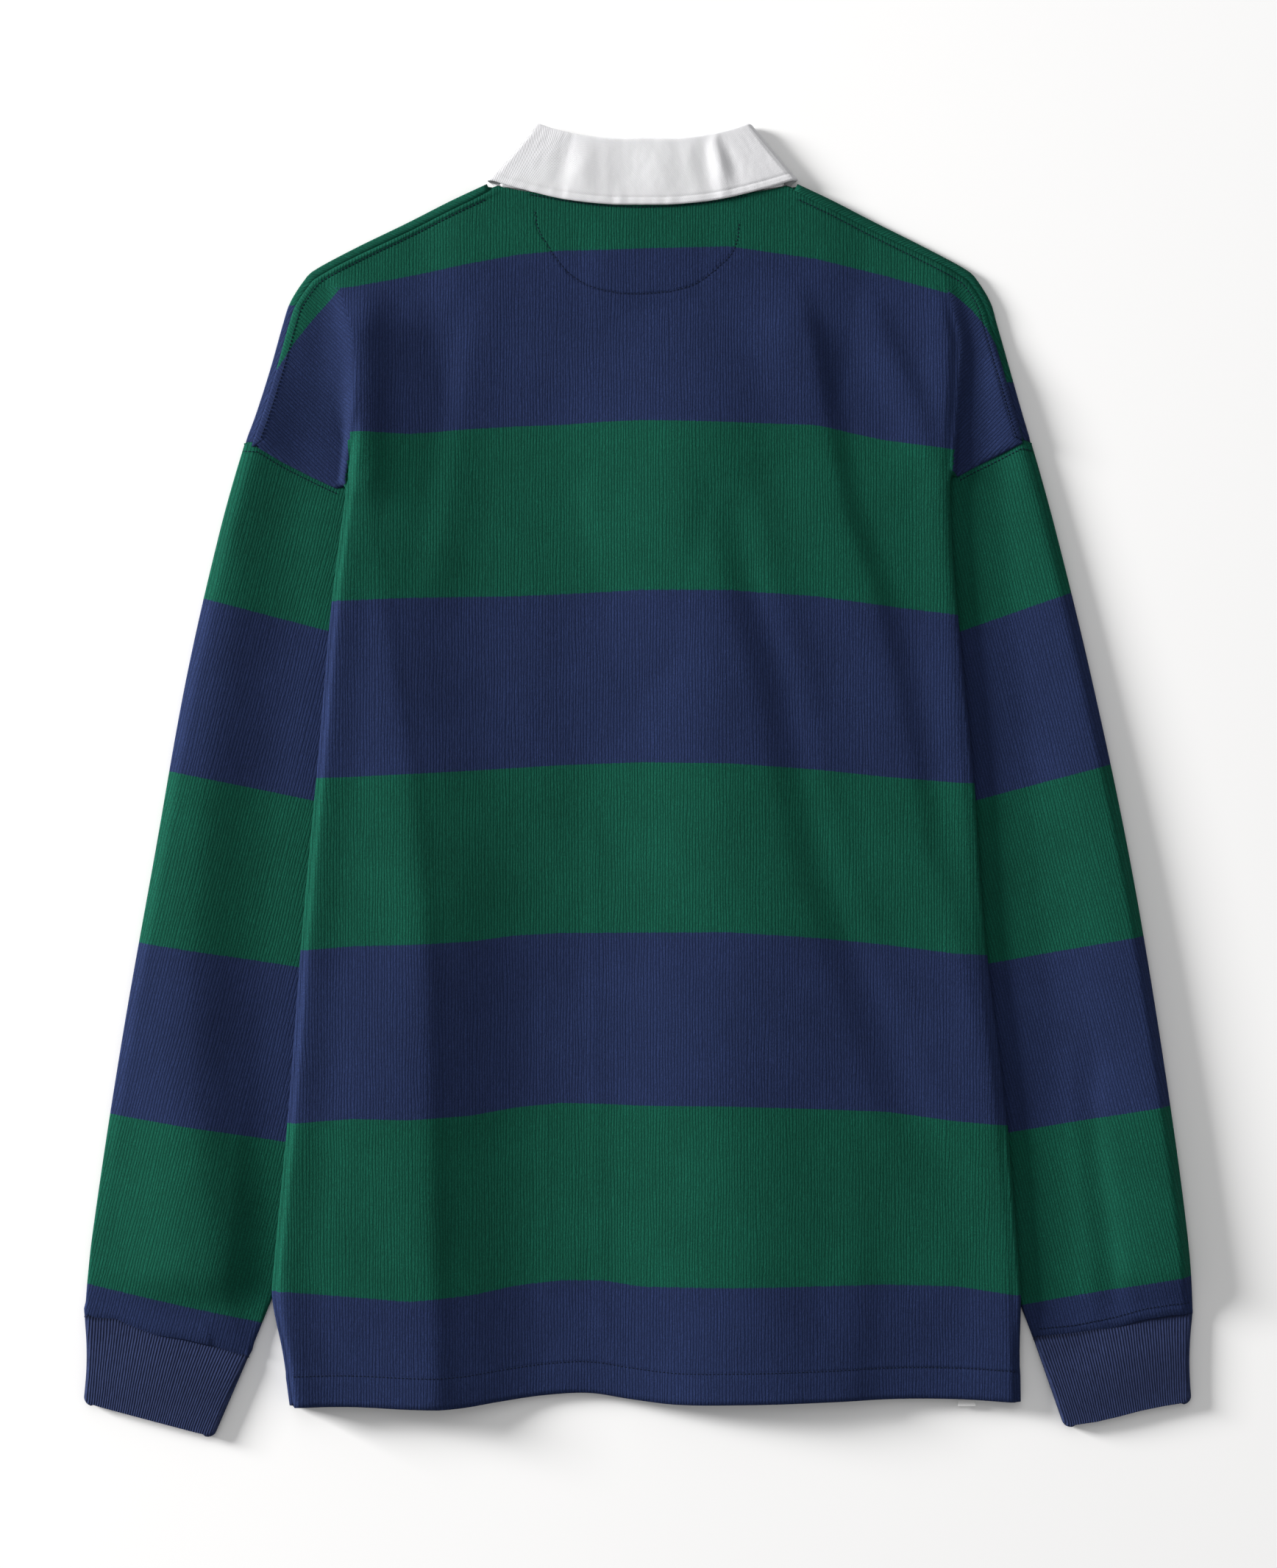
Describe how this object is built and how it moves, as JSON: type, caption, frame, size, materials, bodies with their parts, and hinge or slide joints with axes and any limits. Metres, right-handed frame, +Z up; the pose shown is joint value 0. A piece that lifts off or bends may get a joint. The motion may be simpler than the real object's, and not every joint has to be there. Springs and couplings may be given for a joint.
{
  "type": "rugby shirt",
  "caption": "Long-sleeved rugby shirt with broad green and navy hoops and a white twill collar, laid flat with its back up.",
  "frame": {"origin": "centre of the shirt's outline in plan, on the surface that it lies on", "axes": "+Y towards the collar, +X to the right as seen from above with the collar at the top, +Z up from the surface towards the back panel"},
  "size_m": [0.6622, 0.7846, 0.0109],
  "materials": {
    "striped_jersey": "matte heavy cotton knit",
    "navy_rib": "matte ribbed cotton knit",
    "white_twill": "matte cotton twill",
    "rubber_button": "soft matte",
    "white_tape": "smooth woven tape"
  },
  "bodies": {
    "root": {"back": "striped_jersey", "front": "striped_jersey", "sleeve_left": "striped_jersey", "sleeve_right": "striped_jersey", "cuff_left": "navy_rib", "cuff_right": "navy_rib", "collar": "white_twill", "placket_upper": "white_twill", "placket_under": "white_twill", "button_1": "rubber_button", "button_2": "rubber_button", "button_3": "rubber_button", "care_label": "white_tape"}
  },
  "joints": []
}
